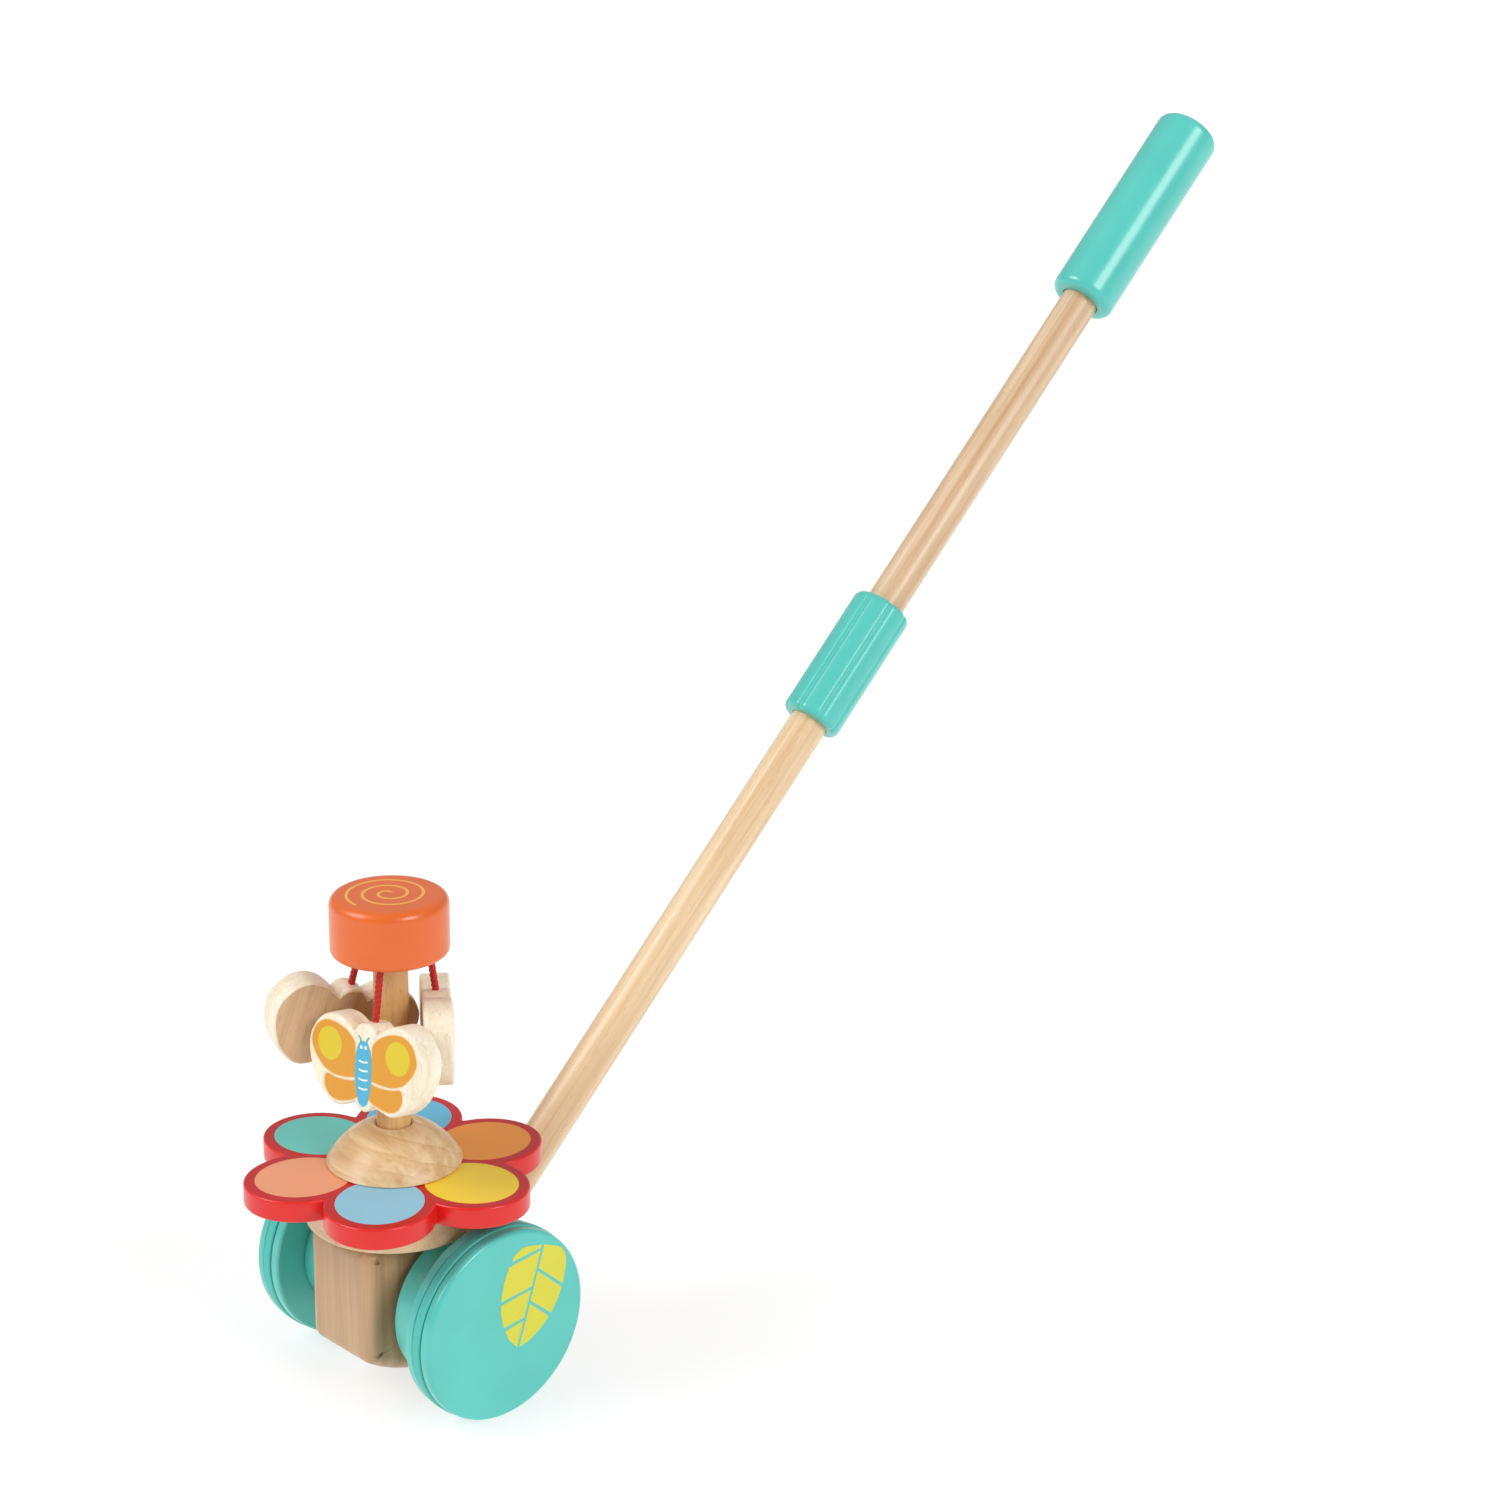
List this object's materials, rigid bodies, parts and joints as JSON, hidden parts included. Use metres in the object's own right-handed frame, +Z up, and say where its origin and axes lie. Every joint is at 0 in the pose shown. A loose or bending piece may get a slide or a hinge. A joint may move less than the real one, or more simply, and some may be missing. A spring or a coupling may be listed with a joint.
{
  "type": "wooden push-along spinning flower toy",
  "caption": "Wooden push-along toy on two wheels with a long two-piece stick; the wheels spin a flower and post that carries hanging butterflies.",
  "frame": {"origin": "on the floor, under the middle of the toy's box", "axes": "+Z up, +Y from the wheels towards the raised grip, -Y the way it is pushed, +X towards the driving wheel"},
  "size_m": [0.1082, 0.4774, 0.4197],
  "materials": {
    "natural_beech": "clear-lacquered beech, satin",
    "pale_wood": "pale unlacquered plywood-like hardwood with a matt seal",
    "turquoise_paint": "water-based gloss paint on turned wood",
    "turquoise_rubber": "matt moulded ring",
    "red_paint": "water-based gloss paint on wood, with printed petals",
    "orange_paint": "water-based gloss paint on turned wood, with a printed spiral",
    "red_cord": "twisted polyester cord",
    "steel": "bright zinc"
  },
  "bodies": {
    "chassis": {"chassis_block": "natural_beech", "flower_thrust_washer": "steel", "lower_dowel": "natural_beech", "stick_screw": "steel", "lower_ferrule": "steel", "locating_key": "steel"},
    "wheelset": {"axle": "steel", "left_wheel": "turquoise_paint", "right_wheel": "turquoise_paint", "left_tyre": "turquoise_rubber", "right_tyre": "turquoise_rubber", "drive_hub": "turquoise_paint", "spacer_hub": "turquoise_paint", "left_axle_spacer": "pale_wood", "right_axle_spacer": "pale_wood"},
    "spinner": {"drive_disc": "natural_beech", "flower_plate": "red_paint", "dome": "natural_beech", "post": "natural_beech", "cap": "orange_paint", "flower_screw": "steel", "screw_washer": "steel", "front_cord_top": "red_cord", "right_cord_top": "red_cord", "left_cord_top": "red_cord"},
    "collar": {"collar": "turquoise_paint"},
    "upper_handle": {"upper_dowel": "natural_beech", "upper_ferrule": "steel", "grip": "turquoise_paint"},
    "front_cord": {"front_cord": "red_cord"},
    "front_butterfly": {"front_butterfly": "pale_wood", "front_cord_end": "red_cord"},
    "right_cord": {"right_cord": "red_cord"},
    "right_butterfly": {"right_butterfly": "pale_wood", "right_cord_end": "red_cord"},
    "left_cord": {"left_cord": "red_cord"},
    "left_butterfly": {"left_butterfly": "pale_wood", "left_cord_end": "red_cord"}
  },
  "joints": [
    {"name": "wheel_roll", "type": "hinge", "parent": "chassis", "child": "wheelset", "pos_m": [0, -0.17573, 0.0357], "axis": [1, 0, 0], "continuous": true},
    {"name": "flower_spin", "type": "hinge", "parent": "chassis", "child": "spinner", "pos_m": [0, -0.18513, 0.0855], "axis": [0, 0, 1], "continuous": true},
    {"name": "front_swing", "type": "hinge", "parent": "spinner", "child": "front_cord", "pos_m": [0.00871, -0.19596, 0.1646], "axis": [-0.7793, -0.6266, 0], "range_deg": [0, 40]},
    {"name": "front_twist", "type": "hinge", "parent": "front_cord", "child": "front_butterfly", "pos_m": [0.00799, -0.19818, 0.14433], "axis": [0.0354, 0.1087, 0.9934], "range_deg": [-3, 3]},
    {"name": "right_swing", "type": "hinge", "parent": "spinner", "child": "right_cord", "pos_m": [0.00503, -0.17217, 0.1646], "axis": [0.9323, -0.3616, 0], "range_deg": [0, 40]},
    {"name": "right_twist", "type": "hinge", "parent": "right_cord", "child": "right_butterfly", "pos_m": [0.00448, -0.16892, 0.14711], "axis": [0.0307, -0.1826, 0.9827], "range_deg": [-3, 1.5]},
    {"name": "left_swing", "type": "hinge", "parent": "spinner", "child": "left_cord", "pos_m": [-0.01374, -0.18726, 0.1646], "axis": [-0.153, 0.9882, 0], "range_deg": [0, 40]},
    {"name": "left_twist", "type": "hinge", "parent": "left_cord", "child": "left_butterfly", "pos_m": [-0.02012, -0.18718, 0.14692], "axis": [0.3395, -0.004, 0.9406], "range_deg": [-3, 2.5]},
    {"name": "collar_turn", "type": "hinge", "parent": "chassis", "child": "collar", "pos_m": [0, 0.03826, 0.22368], "axis": [0, 0.7157, 0.6984], "range_deg": [0, 905]},
    {"name": "handle_slide", "type": "slide", "parent": "chassis", "child": "upper_handle", "axis": [0, 0.7157, 0.6984], "range_m": [0, 0.0075]}
  ],
  "couplings": [
    {"joint": "flower_spin", "follows": "wheel_roll", "ratio": -1.048},
    {"joint": "collar_turn", "follows": "handle_slide", "rad_per_m": 2094.4}
  ]
}
